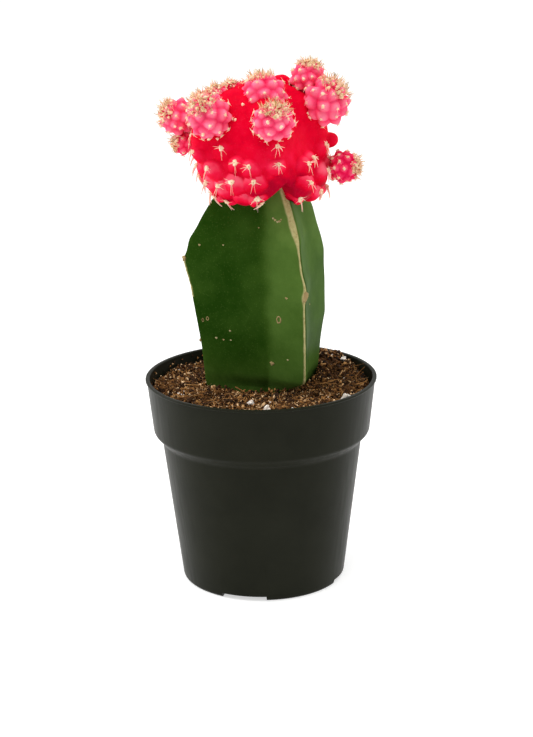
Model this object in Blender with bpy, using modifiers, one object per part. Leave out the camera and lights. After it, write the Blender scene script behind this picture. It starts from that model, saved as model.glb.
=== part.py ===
"""Potted moon cactus: a red cactus grafted on a three-ribbed green rootstock, in a round nursery pot.

Metres, +Z up, front toward -Y. The origin is the middle of the pot's foot, on the surface it
stands on. Every piece keeps GAP to its neighbours, so each is a closed solid of its own.
"""
import math

import bmesh
import bpy
from mathutils import Vector, noise

MM = 0.001
GAP = 0.3 * MM
HARD_EDGE = math.radians(40.0)

# Pot, a thin moulded tub with a straight collar over a step
POT_STEPS = 48
POT_HEIGHT = 58.0 * MM
LIP_RADIUS = 32.0 * MM
LIP_HEIGHT = 0.7 * MM
COLLAR_TOP_RADIUS = 31.6 * MM
COLLAR_FOOT_RADIUS = 30.0 * MM
COLLAR_FOOT_Z = 42.9 * MM
STEP_RADIUS = 27.75 * MM
STEP_Z = 40.5 * MM
FOOT_RADIUS = 22.65 * MM
WALL = 0.8 * MM
FOOT_RING = 2.2 * MM
FLOOR_Z = 1.5 * MM
FLOOR_TOP_Z = 2.6 * MM

# Four arches in the foot ring, each with a drain slot above it, and one middle hole
DRAINS = 4
FIRST_DRAIN_ANGLE = math.radians(-104.5)
ARCH_WIDTH = 12.6 * MM
ARCH_HEIGHT = 1.3 * MM
SLOT_RADIUS = 2.0 * MM
SLOT_SPREAD = 2.5 * MM
SLOT_DISTANCE = 15.5 * MM
MIDDLE_HOLE_RADIUS = 3.0 * MM

# Plant axis, a little to the right of the pot's
PLANT_X = 1.0 * MM

# Soil, a plug that fills the pot to just under the rim and is heaped behind the stem
SOIL_Z = 54.6 * MM
SOIL_HEAP = 4.8 * MM
SOIL_HEAP_SPOT = Vector((17.0, 16.0)) * MM
SOIL_HEAP_SPREAD = 9.0 * MM
SOIL_ROUGHNESS = 0.9 * MM
SOIL_CELL = 7.0 * MM
SOIL_RINGS = (0.20, 0.40, 0.58, 0.74, 0.88, 1.0)

# Rootstock, a three-ribbed stem: ribs at these angles, with their reach at each height
RIB_ANGLES = [math.radians(angle) for angle in (35.0, 176.0, 308.0)]
RIB_STATIONS = [
    # height, right rib, left rib, front rib, roundness
    (40.0, 11.0, 10.5, 9.0, 0.80),
    (48.0, 15.0, 14.5, 9.5, 0.50),
    (55.0, 17.6, 16.2, 9.0, 0.30),
    (57.5, 18.2, 16.8, 13.5, 0.15),
    (59.3, 18.4, 17.0, 17.4, 0.10),
    (66.0, 18.9, 17.5, 17.8, 0.0),
    (73.0, 20.4, 18.3, 17.8, 0.0),
    (81.0, 20.5, 19.8, 17.8, 0.0),
    (86.0, 20.2, 20.9, 18.0, 0.0),
    (91.0, 20.0, 21.6, 16.4, 0.0),
    (96.0, 18.7, 20.2, 15.3, 0.0),
    (101.0, 17.2, 17.6, 13.8, 0.0),
    (107.0, 14.6, 14.0, 11.2, 0.0),
    (112.3, 11.0, 10.4, 8.9, 0.0),
]
RIB_BLUNTING = 1.3
RIB_CROWDING = 0.85
FLANK_HOLLOW = 0.10
STEM_SEGMENTS = 48

# Scion, a ribbed globe whose skirt hangs over the cut top of the rootstock
SCION_SEGMENTS = 48
SCION_RIBS = 8
SCION_RIB_ANGLE = math.radians(-38.0 - 90.0)
SCION_RIB_HEIGHT = 0.05
SCION_STATIONS = [
    # height, radius, middle's x, from the hollow underside over the skirt to the crown
    (110.3, 7.0, 1.0),
    (109.0, 10.8, 1.4),
    (107.6, 12.8, 1.8),
    (108.8, 14.9, 2.2),
    (112.2, 16.7, 2.4),
    (116.0, 17.8, 1.4),
    (120.5, 18.5, 0.5),
    (125.0, 18.4, 0.0),
    (130.0, 17.0, 0.0),
    (134.5, 14.0, 0.2),
    (137.6, 9.6, 0.4),
    (139.4, 4.8, 0.8),
]
SCION_UNDERSIDE_Z = 110.9
SCION_CROWN_Z = 140.0
HORN_CLEARING_ANGLE = math.radians(308.0)
HORN_CLEARING_SPREAD = math.radians(17.0)
HORN_CLEARING_DEPTH = 0.50
HORN_CLEARING_TOP = 114.5
HORN_CLEARING_FADE = 3.0

# Offsets, young globes that bud round the scion: name, centre, radius
OFFSETS = [
    ("offset_front", (4.3, -17.2, 132.3), 6.1),
    ("offset_left_front", (-13.2, -11.0, 131.2), 6.0),
    ("offset_left", (-21.4, 1.5, 130.0), 5.0),
    ("offset_left_top", (-11.9, -2.6, 137.0), 3.3),
    ("offset_left_low", (-20.0, 1.5, 123.2), 3.0),
    ("offset_crown", (1.3, -4.6, 137.1), 6.1),
    ("offset_crown_left", (-6.9, 2.0, 136.9), 3.2),
    ("offset_crown_right", (12.4, 1.0, 140.0), 4.9),
    ("offset_right", (17.6, -4.0, 133.8), 6.1),
    ("offset_right_low", (22.7, -1.5, 116.2), 4.3),
    ("offset_back", (2.0, 17.5, 131.5), 5.8),
    ("offset_back_left", (-13.8, 13.0, 129.5), 5.2),
    ("offset_back_right", (15.5, 12.5, 131.0), 5.2),
]
OFFSET_KNOBS = 7
OFFSET_KNOB_ROWS = 5.0
OFFSET_KNOB_HEIGHT = 0.09
OFFSET_LIFT = Vector((0.0, 0.0, 0.6))
GLOBE_CENTER = Vector((1.0, 0.0, 120.0)) * MM

# Perlite, white grains half sunk in the soil: name, place, radius
PERLITE = [
    ("perlite_right", (23.2, -13.5), 1.45),
    ("perlite_front", (1.3, -21.5), 1.05),
    ("perlite_front_left", (-3.0, -17.5), 0.95),
    ("perlite_front_right", (8.5, -22.0), 0.80),
    ("perlite_left", (-25.9, -12.0), 0.80),
    ("perlite_left_front", (-11.1, -23.0), 0.80),
    ("perlite_back_right", (23.4, 14.5), 0.90),
    ("perlite_back", (-6.0, 22.0), 1.10),
]
PERLITE_SINK = 0.35
GRAIN_LUMPS = 1.3
GRAIN_LUMP_HEIGHT = 0.22


def clear_scene():
    for item in list(bpy.data.objects):
        bpy.data.objects.remove(item, do_unlink=True)


def make_collection(name):
    collection = bpy.data.collections.new(name)
    bpy.context.scene.collection.children.link(collection)
    return collection


def make_material(name, color, roughness):
    material = bpy.data.materials.new(name)
    material.use_nodes = True
    shader = material.node_tree.nodes["Principled BSDF"]
    shader.inputs["Base Color"].default_value = (*color, 1.0)
    shader.inputs["Roughness"].default_value = roughness
    shader.inputs["Metallic"].default_value = 0.0
    return material


def add_object(name, mesh, collection, material=None):
    item = bpy.data.objects.new(name, mesh)
    collection.objects.link(item)
    if material:
        mesh.materials.append(material)
    return item


def mesh_from(bm, name):
    """Turn a bmesh into a mesh that shades round but keeps its hard edges."""
    mesh = bpy.data.meshes.new(name)
    bm.to_mesh(mesh)
    bm.free()
    mesh.shade_smooth()
    mesh.set_sharp_from_angle(angle=HARD_EDGE)
    return mesh


def cutter_from(bm, name, cutters):
    cutter = add_object(name, mesh_from(bm, name), cutters)
    cutter.hide_render = True
    cutter.display_type = "WIRE"
    return cutter


def subtract(item, cutter):
    cut = item.modifiers.new("cut_" + cutter.name, "BOOLEAN")
    cut.operation = "DIFFERENCE"
    cut.object = cutter
    return cut


def turn_profile(name, profile, collection, material):
    """Spin an outline of (radius, height) points, which starts and ends on the axis, about Z."""
    bm = bmesh.new()
    previous = None
    for radius, height in profile:
        point = bm.verts.new((radius, 0.0, height))
        if previous:
            bm.edges.new((previous, point))
        previous = point
    item = add_object(name, mesh_from(bm, name), collection, material)
    screw = item.modifiers.new("turn", "SCREW")
    screw.steps = POT_STEPS
    screw.render_steps = POT_STEPS
    screw.use_merge_vertices = True
    screw.merge_threshold = 0.01 * MM
    screw.use_smooth_shade = True
    return item


def ringed_globe(segments, rings):
    """A globe whose rows of points are shaped afterwards, with its row number for each point."""
    bm = bmesh.new()
    bmesh.ops.create_uvsphere(bm, u_segments=segments, v_segments=rings + 1, radius=1.0)
    rows = {vert: round(math.acos(max(-1.0, min(1.0, vert.co.z))) / math.pi * (rings + 1))
            for vert in bm.verts}
    return bm, rows


def grow(bm, spare):
    """Move every face of a closed shape outward by about spare."""
    if spare:
        bm.normal_update()
        moves = [(vert, vert.normal * (vert.calc_shell_factor() * spare)) for vert in bm.verts]
        for vert, move in moves:
            vert.co += move
    return bm


def ease(value):
    value = max(0.0, min(1.0, value))
    return value * value * (3.0 - 2.0 * value)


def angle_between(a, b):
    return abs((a - b + math.pi) % math.tau - math.pi)


# --- pot -----------------------------------------------------------------------------------

def wall_radius(z):
    """Outer radius of the tapered wall below the step."""
    return FOOT_RADIUS + (STEP_RADIUS - FOOT_RADIUS) * z / STEP_Z


def inner_wall(inset):
    """Inside of the pot from its floor to its rim, moved inward by inset."""
    reach = WALL + inset
    return [
        (wall_radius(FLOOR_TOP_Z) - reach, FLOOR_TOP_Z + inset),
        (STEP_RADIUS - reach, STEP_Z),
        (COLLAR_FOOT_RADIUS - reach, COLLAR_FOOT_Z),
        (COLLAR_TOP_RADIUS - reach, POT_HEIGHT - LIP_HEIGHT),
    ]


def pot_profile():
    lip_z = POT_HEIGHT - LIP_HEIGHT
    lip_round = 0.35 * LIP_HEIGHT
    return [(0.0, FLOOR_TOP_Z)] + inner_wall(0.0) + [
        (COLLAR_TOP_RADIUS - WALL + lip_round, POT_HEIGHT),
        (LIP_RADIUS - lip_round, POT_HEIGHT),
        (LIP_RADIUS, POT_HEIGHT - lip_round),
        (LIP_RADIUS - 0.1 * MM, lip_z + 0.2 * MM),
        (COLLAR_TOP_RADIUS, lip_z),
        (COLLAR_FOOT_RADIUS, COLLAR_FOOT_Z),
        (STEP_RADIUS, STEP_Z),
        (wall_radius(0.8 * MM), 0.8 * MM),
        (FOOT_RADIUS - 0.4 * MM, 0.0),
        (FOOT_RADIUS - FOOT_RING, 0.0),
        (FOOT_RADIUS - FOOT_RING, FLOOR_Z),
        (0.0, FLOOR_Z),
    ]


def floor_cutter(name, centers, radius, cutters):
    """A cutter up through the pot's floor: a round hole, or a slot round two centres."""
    bm = bmesh.new()
    for center in centers:
        made = bmesh.ops.create_cone(bm, cap_ends=True, segments=16, radius1=radius,
                                     radius2=radius, depth=4.0 * FLOOR_TOP_Z)
        bmesh.ops.translate(bm, verts=made["verts"], vec=(center.x, center.y, FLOOR_Z))
    if len(centers) > 1:
        hull = bmesh.ops.convex_hull(bm, input=bm.verts)
        inside = {item for item in hull["geom_interior"] if isinstance(item, bmesh.types.BMVert)}
        bmesh.ops.delete(bm, geom=list(inside), context="VERTS")
        bmesh.ops.dissolve_limit(bm, angle_limit=math.radians(1.0), verts=bm.verts, edges=bm.edges)
    return cutter_from(bm, name, cutters)


def build_pot(parts, cutters):
    material = make_material("pot_plastic", (0.022, 0.023, 0.017), 0.38)
    pot = turn_profile("pot", pot_profile(), parts, material)
    for index in range(DRAINS):
        angle = FIRST_DRAIN_ANGLE + index * math.tau / DRAINS
        outward = Vector((math.cos(angle), math.sin(angle), 0.0))
        along = Vector((-outward.y, outward.x, 0.0))

        arch = bmesh.new()
        bmesh.ops.create_cube(arch, size=1.0)
        bmesh.ops.scale(arch, verts=arch.verts, vec=(3.0 * FOOT_RING, ARCH_WIDTH, 2.0 * ARCH_HEIGHT))
        cutter = cutter_from(arch, f"arch_cutter_{index + 1}", cutters)
        cutter.location = outward * (FOOT_RADIUS - 0.5 * FOOT_RING)
        cutter.rotation_euler.z = angle
        subtract(pot, cutter)

        ends = [outward * SLOT_DISTANCE + along * side * SLOT_SPREAD for side in (-1.0, 1.0)]
        subtract(pot, floor_cutter(f"slot_cutter_{index + 1}", ends, SLOT_RADIUS, cutters))
    middle = floor_cutter("middle_hole_cutter", [Vector()], MIDDLE_HOLE_RADIUS, cutters)
    subtract(pot, middle)


# --- rootstock -----------------------------------------------------------------------------

def flank_reach(angle, ribs, roundness):
    """Reach of the three-ribbed outline at an angle: straight flanks, hollowed, with blunt ribs."""
    for index, start in enumerate(RIB_ANGLES):
        follower = (index + 1) % len(RIB_ANGLES)
        span = (RIB_ANGLES[follower] - start) % math.tau
        turned = (angle - start) % math.tau
        if turned <= span:
            break
    first = ribs[index] + RIB_BLUNTING
    second = ribs[follower] + RIB_BLUNTING
    chord = first * second * math.sin(span)
    chord /= first * math.sin(turned) + second * math.sin(span - turned)
    chord *= 1.0 - FLANK_HOLLOW * (1.0 - roundness) * math.sin(math.pi * turned / span)
    share = ease(turned / span)
    limit = ribs[index] * (1.0 - share) + ribs[follower] * share
    return min(chord, limit) * (1.0 - roundness) + limit * roundness


def stem_angle(step):
    """Angles of the stem's lengthwise rows, closer together near each rib."""
    per_flank = STEM_SEGMENTS // len(RIB_ANGLES)
    index, place = divmod(step % STEM_SEGMENTS, per_flank)
    start = RIB_ANGLES[index]
    span = (RIB_ANGLES[(index + 1) % len(RIB_ANGLES)] - start) % math.tau
    share = place / per_flank
    return start + span * (share - RIB_CROWDING * math.sin(math.tau * share) / math.tau)


def stem_mesh(spare):
    """The rootstock's solid, with every face moved out by spare."""
    rings = len(RIB_STATIONS)
    bm, rows = ringed_globe(STEM_SEGMENTS, rings)
    for vert, row in rows.items():
        station = RIB_STATIONS[max(0, min(rings - 1, rings - row))]
        reach = 0.0
        angle = 0.0
        if 1 <= row <= rings:
            turned = math.atan2(vert.co.y, vert.co.x) % math.tau
            angle = stem_angle(round(turned / math.tau * STEM_SEGMENTS))
            reach = flank_reach(angle, station[1:4], station[4]) * MM
        vert.co = (PLANT_X + reach * math.cos(angle), reach * math.sin(angle), station[0] * MM)
    return grow(bm, spare)


def build_rootstock(parts):
    material = make_material("rootstock_skin", (0.035, 0.095, 0.012), 0.42)
    return add_object("rootstock", mesh_from(stem_mesh(0.0), "rootstock"), parts, material)


# --- soil and perlite ----------------------------------------------------------------------

def soil_height(x, y):
    """Height of the soil's uneven top, heaped at one spot behind the stem."""
    away = (Vector((x, y)) - SOIL_HEAP_SPOT).length / SOIL_HEAP_SPREAD
    bumps = noise.noise(Vector((x, y, 0.0)) / SOIL_CELL)
    return SOIL_Z + SOIL_HEAP * math.exp(-away * away) + SOIL_ROUGHNESS * bumps


def build_soil(parts, cutters):
    material = make_material("potting_soil", (0.13, 0.065, 0.028), 0.95)
    side = inner_wall(GAP)
    foot, step, collar, top = side
    share = (SOIL_Z - collar[1]) / (top[1] - collar[1])
    edge = collar[0] + (top[0] - collar[0]) * share
    rows = [(edge * part, None) for part in SOIL_RINGS] + [collar, step, foot]

    bm, row_of = ringed_globe(POT_STEPS, len(rows))
    for vert, row in row_of.items():
        if row > len(rows):
            vert.co = (0.0, 0.0, foot[1])
            continue
        radius, height = rows[row - 1] if row else (0.0, None)
        angle = math.atan2(vert.co.y, vert.co.x)
        x = radius * math.cos(angle)
        y = radius * math.sin(angle)
        vert.co = (x, y, soil_height(x, y) if height is None else height)
    soil = add_object("soil", mesh_from(bm, "soil"), parts, material)
    subtract(soil, cutter_from(stem_mesh(GAP), "stem_hole_cutter", cutters))
    return soil


def grain_mesh(center, radius, spare, seed):
    """An irregular grain, grown by spare all round."""
    bm = bmesh.new()
    bmesh.ops.create_icosphere(bm, subdivisions=2, radius=1.0)
    for vert in bm.verts:
        direction = vert.co.normalized()
        lumps = noise.noise(direction * GRAIN_LUMPS + Vector((seed, 0.0, 0.0)))
        vert.co = center + direction * (radius * (1.0 + GRAIN_LUMP_HEIGHT * lumps) + spare)
    return bm


def build_perlite(parts, cutters, soil):
    material = make_material("perlite", (0.80, 0.76, 0.68), 0.90)
    for index, (name, (x, y), radius) in enumerate(PERLITE):
        radius *= MM
        x *= MM
        y *= MM
        center = Vector((x, y, soil_height(x, y) + radius * PERLITE_SINK))
        mesh = mesh_from(grain_mesh(center, radius, 0.0, index), name)
        add_object(name, mesh, parts, material)
        socket = grain_mesh(center, radius, GAP, index)
        subtract(soil, cutter_from(socket, name + "_cutter", cutters))


# --- scion and its offsets -------------------------------------------------------------------

def scion_mesh(spare):
    """The ribbed globe, with a clearing over the rootstock's front rib, grown by spare."""
    rings = len(SCION_STATIONS)
    bm, rows = ringed_globe(SCION_SEGMENTS, rings)
    for vert, row in rows.items():
        if row == 0:
            vert.co = (PLANT_X, 0.0, SCION_CROWN_Z * MM)
            continue
        if row > rings:
            vert.co = (PLANT_X, 0.0, SCION_UNDERSIDE_Z * MM)
            continue
        height, radius, middle = SCION_STATIONS[rings - row]
        angle = math.atan2(vert.co.y, vert.co.x)
        wave = math.cos(SCION_RIBS * (angle - SCION_RIB_ANGLE))
        radius *= 1.0 + SCION_RIB_HEIGHT * wave
        aside = angle_between(angle, HORN_CLEARING_ANGLE) / HORN_CLEARING_SPREAD
        low = ease((HORN_CLEARING_TOP - height) / HORN_CLEARING_FADE)
        radius *= 1.0 - HORN_CLEARING_DEPTH * low * math.exp(-aside * aside)
        x = middle + radius * math.cos(angle)
        vert.co = Vector((x, radius * math.sin(angle), height)) * MM
    return grow(bm, spare)


def build_scion(parts, cutters):
    material = make_material("scion_skin", (0.78, 0.004, 0.045), 0.45)
    scion = add_object("scion", mesh_from(scion_mesh(0.0), "scion"), parts, material)
    subtract(scion, cutter_from(stem_mesh(GAP), "graft_cutter", cutters))
    return scion


def offset_mesh(center, radius, spare):
    """A young globe with rows of knobs, its crown facing up and away from the scion."""
    crown = (center - GLOBE_CENTER).normalized() + OFFSET_LIFT
    turn = Vector((0.0, 0.0, 1.0)).rotation_difference(crown)
    bm = bmesh.new()
    bmesh.ops.create_icosphere(bm, subdivisions=3, radius=1.0)
    for vert in bm.verts:
        direction = vert.co.normalized()
        around = math.atan2(direction.y, direction.x)
        down = math.acos(max(-1.0, min(1.0, direction.z)))
        knob = math.cos(OFFSET_KNOBS * around) * math.sin(down) * math.cos(OFFSET_KNOB_ROWS * down)
        reach = radius * (1.0 + OFFSET_KNOB_HEIGHT * knob) + spare
        vert.co = center + turn @ direction * reach
    return bm


def build_offsets(parts, cutters):
    material = make_material("offset_skin", (0.80, 0.05, 0.16), 0.50)
    earlier = [cutter_from(scion_mesh(GAP), "scion_cutter", cutters)]
    for name, center, radius in OFFSETS:
        center = Vector(center) * MM
        radius *= MM
        offset = add_object(name, mesh_from(offset_mesh(center, radius, 0.0), name), parts, material)
        for cutter in earlier:
            subtract(offset, cutter)
        earlier.append(cutter_from(offset_mesh(center, radius, GAP), name + "_cutter", cutters))


def build():
    clear_scene()
    parts = make_collection("potted_moon_cactus")
    cutters = make_collection("cutters")
    build_pot(parts, cutters)
    soil = build_soil(parts, cutters)
    build_rootstock(parts)
    build_perlite(parts, cutters, soil)
    build_scion(parts, cutters)
    build_offsets(parts, cutters)


build()
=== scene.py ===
"""Potted moon cactus: the looks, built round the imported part.

Metres, +Z up, front toward -Y, in the part's own frame. Sizes in millimetres are times MM.
"""
import math
import random

import bmesh
import bpy
import numpy as np
from mathutils import Matrix, Vector, noise
from mathutils.bvhtree import BVHTree


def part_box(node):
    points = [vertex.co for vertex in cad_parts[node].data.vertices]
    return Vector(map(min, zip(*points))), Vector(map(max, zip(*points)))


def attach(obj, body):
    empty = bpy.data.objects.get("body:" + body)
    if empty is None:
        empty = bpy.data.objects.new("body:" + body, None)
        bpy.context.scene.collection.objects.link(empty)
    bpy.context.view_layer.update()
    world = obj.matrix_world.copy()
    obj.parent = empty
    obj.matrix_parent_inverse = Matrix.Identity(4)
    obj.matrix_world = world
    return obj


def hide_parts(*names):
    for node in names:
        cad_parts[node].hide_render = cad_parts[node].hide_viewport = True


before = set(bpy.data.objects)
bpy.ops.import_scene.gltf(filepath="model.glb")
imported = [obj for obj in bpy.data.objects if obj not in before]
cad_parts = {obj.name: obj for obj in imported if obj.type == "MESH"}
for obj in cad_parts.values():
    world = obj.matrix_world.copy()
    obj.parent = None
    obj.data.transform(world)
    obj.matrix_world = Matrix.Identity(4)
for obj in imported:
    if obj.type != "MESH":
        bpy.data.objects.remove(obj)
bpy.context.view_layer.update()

MM = 0.001


# --- View: a long lens a little above the rim, a white sweep, and light from both sides -------
# The camera looks down on the pot at 17 degrees and is rolled by less than one. The room is
# white behind and beside the plant and dim behind the camera, as in a small light tent.

CAMERA_PLACE = (0.0, -0.530, 0.2207)
CAMERA_DIP = math.radians(16.88)
CAMERA_ROLL = math.radians(-0.83)

camera_data = bpy.data.cameras.new("camera")
camera = bpy.data.objects.new("camera", camera_data)
bpy.context.scene.collection.objects.link(camera)
camera_data.sensor_width = 36.0
camera_data.lens = 97.8
camera_data.shift_x = 0.0075
camera_data.clip_start = 0.01
tilt = Matrix.Rotation(math.radians(90.0) - CAMERA_DIP, 4, "X")
roll = Matrix.Rotation(CAMERA_ROLL, 4, "Z")
camera.matrix_world = Matrix.Translation(CAMERA_PLACE) @ tilt @ roll
bpy.context.scene.camera = camera
bpy.context.scene.view_settings.view_transform = "Standard"


def set_inputs(tree, node, values):
    """Gives a node's inputs their values. A value that is another node's output is linked."""
    for title, value in values.items():
        if isinstance(value, bpy.types.NodeSocket):
            tree.links.new(value, node.inputs[title])
        else:
            node.inputs[title].default_value = value


def add_node(tree, kind, values=None, **settings):
    """A shader node of a kind, with its settings and its inputs' values or links."""
    made = tree.nodes.new("ShaderNode" + kind)
    for name, value in settings.items():
        setattr(made, name, value)
    set_inputs(tree, made, values or {})
    return made


def make_ramp(tree, source, stops):
    """Colours laid along a value: each stop is a place from 0 to 1 and a colour."""
    ramp = add_node(tree, "ValToRGB", {"Fac": source})
    elements = ramp.color_ramp.elements
    while len(elements) < len(stops):
        elements.new(0.5)
    for element, (place, color) in zip(elements, stops):
        element.position = place
        element.color = (*color, 1.0)
    return ramp.outputs["Color"]


def new_finish(name, values):
    """A material with its tree and its main shader, whose plain values are set here."""
    material = bpy.data.materials.new(name)
    material.use_nodes = True
    tree = material.node_tree
    shader = tree.nodes["Principled BSDF"]
    set_inputs(tree, shader, values)
    return material, tree, shader


world = bpy.data.worlds.new("tent")
bpy.context.scene.world = world
world.use_nodes = True
tent = world.node_tree
direction = add_node(tent, "TexCoord").outputs["Generated"]
split = add_node(tent, "SeparateXYZ", {"Vector": direction})
depth = add_node(tent, "MapRange", {"Value": split.outputs["Y"], "From Min": -1.0, "From Max": 1.0})
tent_color = make_ramp(tent, depth.outputs["Result"], [
    (0.0, (0.58, 0.58, 0.58)),
    (0.30, (0.55, 0.55, 0.545)),
    (0.55, (0.95, 0.95, 0.94)),
    (1.0, (1.0, 1.0, 0.99)),
])
set_inputs(tent, tent.nodes["Background"], {"Color": tent_color, "Strength": 0.92})


def add_softbox(name, place, target, size, power):
    """A square area light at a place, turned toward a target."""
    data = bpy.data.lights.new(name, "AREA")
    data.size = size
    data.energy = power
    light = bpy.data.objects.new(name, data)
    bpy.context.scene.collection.objects.link(light)
    light.location = place
    light.rotation_euler = (Vector(target) - Vector(place)).to_track_quat("-Z", "Y").to_euler()


add_softbox("left_box", (-0.60, 0.14, 0.30), (0.0, 0.0, 0.09), 0.42, 2.6)
add_softbox("right_box", (0.60, 0.16, 0.28), (0.0, 0.0, 0.09), 0.42, 1.4)
add_softbox("top_box", (-0.06, -0.18, 0.80), (0.0, 0.0, 0.10), 0.45, 3.4)


def start_piece(name, add, **sizes):
    """A new piece from a primitive's operator, with nothing else left selected."""
    bpy.ops.object.select_all(action="DESELECT")
    add(**sizes)
    piece = bpy.context.object
    piece.name = name
    return piece


floor = start_piece("floor", bpy.ops.mesh.primitive_plane_add, size=8.0, location=(0.0, 1.5, 0.0))
floor.data.materials.append(new_finish("white_sweep", {
    "Base Color": (0.62, 0.62, 0.617, 1.0),
    "Roughness": 0.75,
    "Specular IOR Level": 0.15,
    "Emission Color": (1.0, 1.0, 1.0, 1.0),
    "Emission Strength": 0.58,
})[0])


# --- Pot: one thin moulding of near-black plastic with a satin face ---------------------------
# A tapered wall, a step out to a straight collar, and a rolled lip. It stands on a foot ring
# with four low arches, and its floor has four drain slots and a middle hole.

POT_SEGMENTS = 160
POT_WALL = 0.8 * MM
POT_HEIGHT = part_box("pot")[1][2]
LIP_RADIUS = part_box("pot")[1][0]
COLLAR_TOP = (31.6 * MM, 57.3 * MM)
COLLAR_FOOT = (30.0 * MM, 42.9 * MM)
STEP = (27.75 * MM, 40.5 * MM)
FOOT_RADIUS = 22.65 * MM
FOOT_RING = 2.2 * MM
FLOOR_Z = 1.5 * MM
FLOOR_TOP_Z = 2.6 * MM
MIDDLE_HOLE = 3.0 * MM
ARCH_WIDTH = 12.6 * MM
ARCH_HEIGHT = 1.3 * MM
SLOT_RADIUS = 2.0 * MM
SLOT_STRETCH = 2.5 * MM
SLOT_REACH = 15.5 * MM
DRAIN_ANGLES = [math.radians(-104.5 + 90.0 * turn) for turn in range(4)]


def round_corners(corners, steps=5):
    """An outline of (radius, height) points from corners that each have a rounding of their own."""
    outline = []
    for index, (radius, height, rounding) in enumerate(corners):
        here = Vector((radius, height))
        if rounding == 0.0 or index in (0, len(corners) - 1):
            outline.append(here)
            continue
        back = Vector(corners[index - 1][:2]) - here
        ahead = Vector(corners[index + 1][:2]) - here
        start = here + back.normalized() * min(rounding, 0.45 * back.length)
        end = here + ahead.normalized() * min(rounding, 0.45 * ahead.length)
        for step in range(steps + 1):
            share = step / steps
            outline.append(start.lerp(here, share).lerp(here.lerp(end, share), share))
    return outline


def turn_rings(name, outline, segments):
    """A round piece: a ring is added, then extruded and resized from point to point."""
    piece = start_piece(name, bpy.ops.mesh.primitive_circle_add, vertices=segments,
                        radius=outline[0][0], location=(0.0, 0.0, outline[0][1]))
    bpy.ops.object.transform_apply(location=True, rotation=True, scale=True)
    bpy.ops.object.mode_set(mode="EDIT")
    bpy.ops.mesh.select_all(action="SELECT")
    for before, after in zip(outline, outline[1:]):
        rise = (0.0, 0.0, after[1] - before[1])
        growth = after[0] / before[0]
        bpy.ops.mesh.extrude_region_move(TRANSFORM_OT_translate={"value": rise})
        bpy.ops.transform.resize(value=(growth, growth, 1.0), center_override=(0.0, 0.0, 0.0))
    return piece


def select_open_edges():
    """Selects, in edit mode, the edges that bound a hole."""
    bpy.ops.mesh.select_all(action="DESELECT")
    bpy.ops.mesh.select_mode(type="EDGE")
    bpy.ops.mesh.select_non_manifold()


def finish_mesh():
    """Closes what edit mode left: doubles are merged and every face is turned outward."""
    bpy.ops.mesh.select_all(action="SELECT")
    bpy.ops.mesh.remove_doubles(threshold=0.001 * MM)
    bpy.ops.mesh.normals_make_consistent(inside=False)
    bpy.ops.object.mode_set(mode="OBJECT")
    bpy.ops.object.shade_smooth()


def activate(piece):
    """Makes a piece the only selected one."""
    bpy.ops.object.select_all(action="DESELECT")
    piece.select_set(True)
    bpy.context.view_layer.objects.active = piece


def cut_away(piece, cutter):
    """Cuts a piece with a cutter and removes the cutter."""
    cut = piece.modifiers.new("cut", "BOOLEAN")
    cut.operation = "DIFFERENCE"
    cut.object = cutter
    activate(piece)
    bpy.ops.object.modifier_apply(modifier=cut.name)
    bpy.data.objects.remove(cutter, do_unlink=True)


foot_wall = FOOT_RADIUS + (STEP[0] - FOOT_RADIUS) * FLOOR_TOP_Z / STEP[1]
pot_outline = round_corners([
    (MIDDLE_HOLE, FLOOR_Z, 0.0),
    (FOOT_RADIUS - FOOT_RING, FLOOR_Z, 0.3 * MM),
    (FOOT_RADIUS - FOOT_RING, 0.0, 0.2 * MM),
    (FOOT_RADIUS, 0.0, 1.0 * MM),
    (STEP[0], STEP[1], 0.7 * MM),
    (COLLAR_FOOT[0], COLLAR_FOOT[1], 0.6 * MM),
    (COLLAR_TOP[0], COLLAR_TOP[1], 0.20 * MM),
    (LIP_RADIUS, COLLAR_TOP[1] + 0.15 * MM, 0.20 * MM),
    (LIP_RADIUS - 0.02 * MM, POT_HEIGHT, 0.35 * MM),
    (COLLAR_TOP[0] - POT_WALL, POT_HEIGHT, 0.45 * MM),
    (COLLAR_TOP[0] - POT_WALL, COLLAR_TOP[1], 0.2 * MM),
    (COLLAR_FOOT[0] - POT_WALL, COLLAR_FOOT[1], 0.8 * MM),
    (STEP[0] - POT_WALL, STEP[1], 1.0 * MM),
    (foot_wall - POT_WALL, FLOOR_TOP_Z, 0.8 * MM),
    (MIDDLE_HOLE, FLOOR_TOP_Z, 0.0),
])
pot = turn_rings("pot_moulding", pot_outline, POT_SEGMENTS)
select_open_edges()
bpy.ops.mesh.bridge_edge_loops()
finish_mesh()

for drain_angle in DRAIN_ANGLES:
    outward = Vector((math.cos(drain_angle), math.sin(drain_angle), 0.0))
    arch = start_piece("arch_cutter", bpy.ops.mesh.primitive_cube_add, size=1.0,
                       location=outward * (FOOT_RADIUS - 0.5 * FOOT_RING),
                       rotation=(0.0, 0.0, drain_angle))
    arch.scale = (3.0 * FOOT_RING, ARCH_WIDTH, 2.0 * ARCH_HEIGHT)
    bpy.ops.object.transform_apply(location=True, rotation=True, scale=True)
    cut_away(pot, arch)
    slot = start_piece("slot_cutter", bpy.ops.mesh.primitive_cylinder_add, vertices=32,
                       radius=SLOT_RADIUS, depth=8.0 * MM)
    for vert in slot.data.vertices:
        vert.co.y += math.copysign(SLOT_STRETCH, vert.co.y)
    slot.rotation_euler.z = drain_angle
    slot.location = outward * SLOT_REACH
    bpy.ops.object.transform_apply(location=True, rotation=True, scale=True)
    cut_away(pot, slot)
activate(pot)
bpy.ops.object.shade_smooth_by_angle(angle=math.radians(32.0))

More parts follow.
